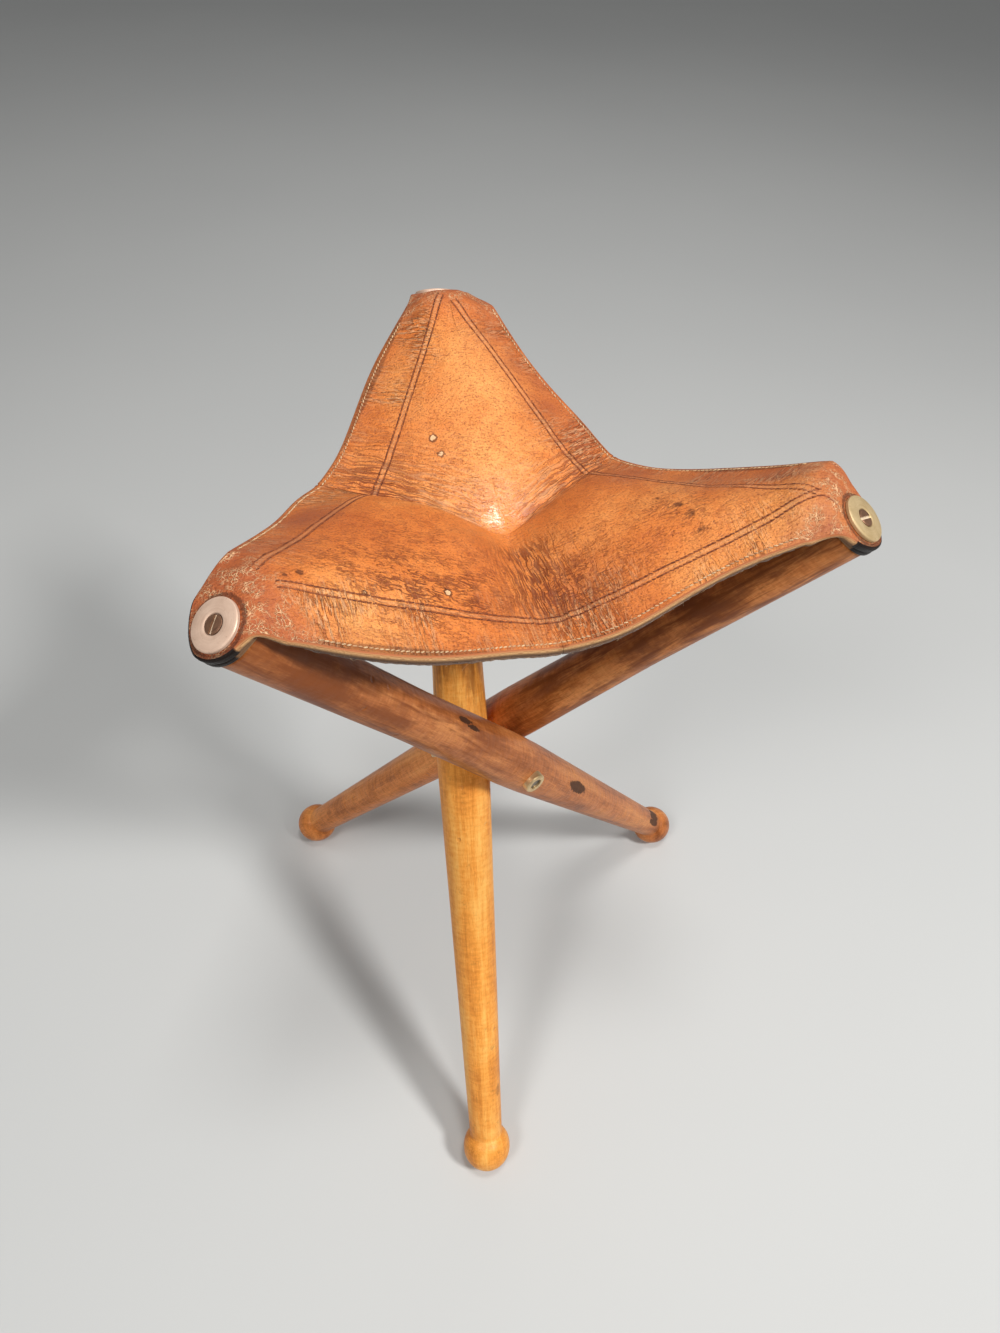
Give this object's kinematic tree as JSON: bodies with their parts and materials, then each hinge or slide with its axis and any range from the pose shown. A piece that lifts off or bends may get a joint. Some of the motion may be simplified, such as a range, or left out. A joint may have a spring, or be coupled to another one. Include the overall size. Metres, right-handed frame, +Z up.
{
  "type": "folding tripod stool",
  "caption": "Folding tripod stool: turned wooden legs with ball feet cross on a central bolt and carry a saddle leather sling seat screwed to their upper ends.",
  "frame": {"origin": "on the floor, on the axis about which the legs are evenly spaced", "axes": "+Z up; the front foot stands towards -Y"},
  "size_m": [0.3182, 0.3383, 0.4627],
  "materials": {
    "beech": "satin varnish",
    "saddle_leather": "worn, waxed",
    "lining_leather": "raw flesh side",
    "pale_brass": "turned, tarnished",
    "screw_brass": "tarnished",
    "nut_brass": "tarnished",
    "bolt_steel": "dull"
  },
  "bodies": {
    "hub": {"three_way_bolt": "bolt_steel", "nut_washer_a": "bolt_steel", "nut_washer_b": "bolt_steel", "nut_washer_c": "bolt_steel", "round_nut_a": "nut_brass", "round_nut_b": "nut_brass", "round_nut_c": "nut_brass"},
    "leg_unit_a": {"leg_a": "beech", "corner_patch_a": "lining_leather", "end_disc_a": "pale_brass", "disc_screw_a": "screw_brass"},
    "leg_unit_b": {"leg_b": "beech", "corner_patch_b": "lining_leather", "end_disc_b": "pale_brass", "disc_screw_b": "screw_brass"},
    "leg_unit_c": {"leg_c": "beech", "corner_patch_c": "lining_leather", "end_disc_c": "pale_brass", "disc_screw_c": "screw_brass"},
    "seat_lobe_a": {"seat_hide": "saddle_leather", "edge_band_front": "lining_leather"},
    "seat_lobe_b": {"edge_band_left": "lining_leather"},
    "seat_lobe_c": {"edge_band_right": "lining_leather"}
  },
  "joints": [
    {"name": "fold_a", "type": "hinge", "parent": "hub", "child": "leg_unit_a", "pos_m": [0.00998, -0.01729, 0.24933], "axis": [-0.5, 0.866, 0], "range_deg": [0, 28]},
    {"name": "fold_b", "type": "hinge", "parent": "hub", "child": "leg_unit_b", "pos_m": [-0.01997, 0, 0.24933], "axis": [1, 0, 0], "range_deg": [0, 28]},
    {"name": "fold_c", "type": "hinge", "parent": "hub", "child": "leg_unit_c", "pos_m": [0.00998, 0.01729, 0.24933], "axis": [-0.5, -0.866, 0], "range_deg": [0, 28]},
    {"name": "leather_a", "type": "hinge", "parent": "leg_unit_a", "child": "seat_lobe_a", "pos_m": [-0.19842, -0.13761, 0.18933], "axis": [-0.5, 0.866, 0], "range_deg": [-28, 0], "deforming": ["seat_hide", "edge_band_front"]},
    {"name": "leather_b", "type": "hinge", "parent": "leg_unit_b", "child": "seat_lobe_b", "pos_m": [-0.01997, 0.24065, 0.18933], "axis": [1, 0, 0], "range_deg": [-28, 0], "deforming": ["edge_band_left"]},
    {"name": "leather_c", "type": "hinge", "parent": "leg_unit_c", "child": "seat_lobe_c", "pos_m": [0.21839, -0.10303, 0.18933], "axis": [-0.5, -0.866, 0], "range_deg": [-28, 0], "deforming": ["edge_band_right"]}
  ],
  "couplings": [
    {"joint": "fold_b", "follows": "fold_a", "ratio": 1},
    {"joint": "fold_c", "follows": "fold_a", "ratio": 1},
    {"joint": "leather_a", "follows": "fold_a", "ratio": -1},
    {"joint": "leather_b", "follows": "fold_a", "ratio": -1},
    {"joint": "leather_c", "follows": "fold_a", "ratio": -1}
  ]
}
